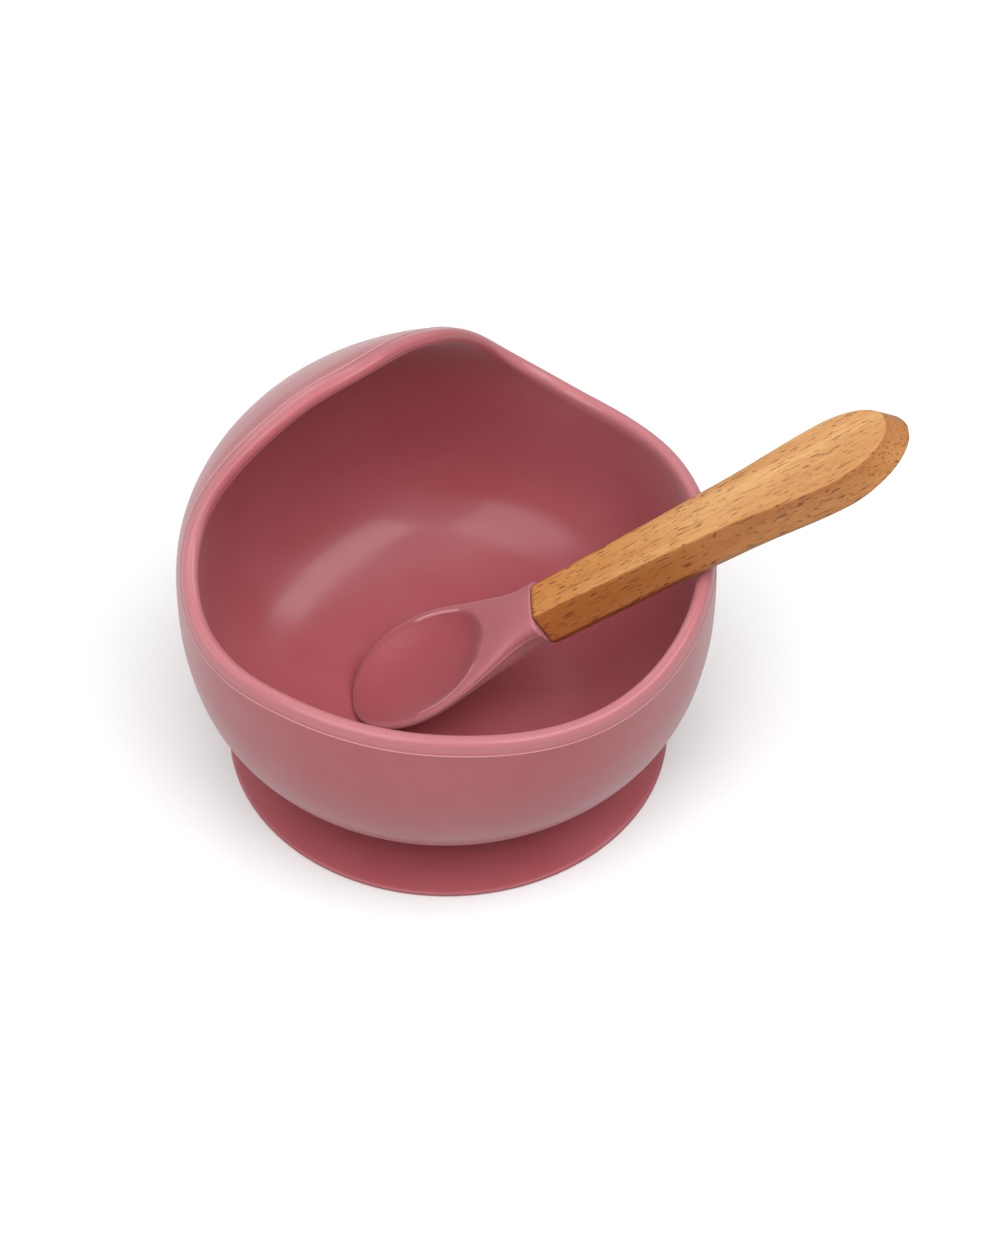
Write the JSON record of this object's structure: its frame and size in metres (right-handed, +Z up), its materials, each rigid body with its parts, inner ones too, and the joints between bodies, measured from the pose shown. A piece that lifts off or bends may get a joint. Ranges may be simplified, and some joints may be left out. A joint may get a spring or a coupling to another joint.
{
  "type": "suction bowl",
  "caption": "Silicone toddler bowl with a tall scoop hood, a thin suction skirt below, and a silicone-headed spoon with a faceted beech handle resting on its rim.",
  "frame": {"origin": "centre of the sealing lip, in the plane of the table top", "axes": "+Z up out of the bowl, +Y towards the tall hood at the back, +X to the right seen from the low front rim"},
  "size_m": [0.1317, 0.1296, 0.1025],
  "materials": {
    "rose_silicone": "satin moulded silicone",
    "skirt_silicone": "satin moulded silicone",
    "spoon_silicone": "satin moulded silicone",
    "beech": "oiled and sanded"
  },
  "bodies": {
    "base": {"suction_base": "skirt_silicone"},
    "bowl": {"bowl_shell": "rose_silicone"},
    "spoon": {"spoon_head": "spoon_silicone", "spoon_handle": "beech"}
  },
  "joints": [
    {"name": "suction_press", "type": "slide", "parent": "base", "child": "bowl", "axis": [0, 0, -1], "range_m": [0, 0.002], "stiffness_N_per_m": 4000, "springref_m": -0.0008, "deforming": ["suction_base"]},
    {"name": "spoon_lift", "type": "slide", "parent": "bowl", "child": "spoon", "axis": [0, 0, 1], "range_m": [0, 0.11]}
  ]
}
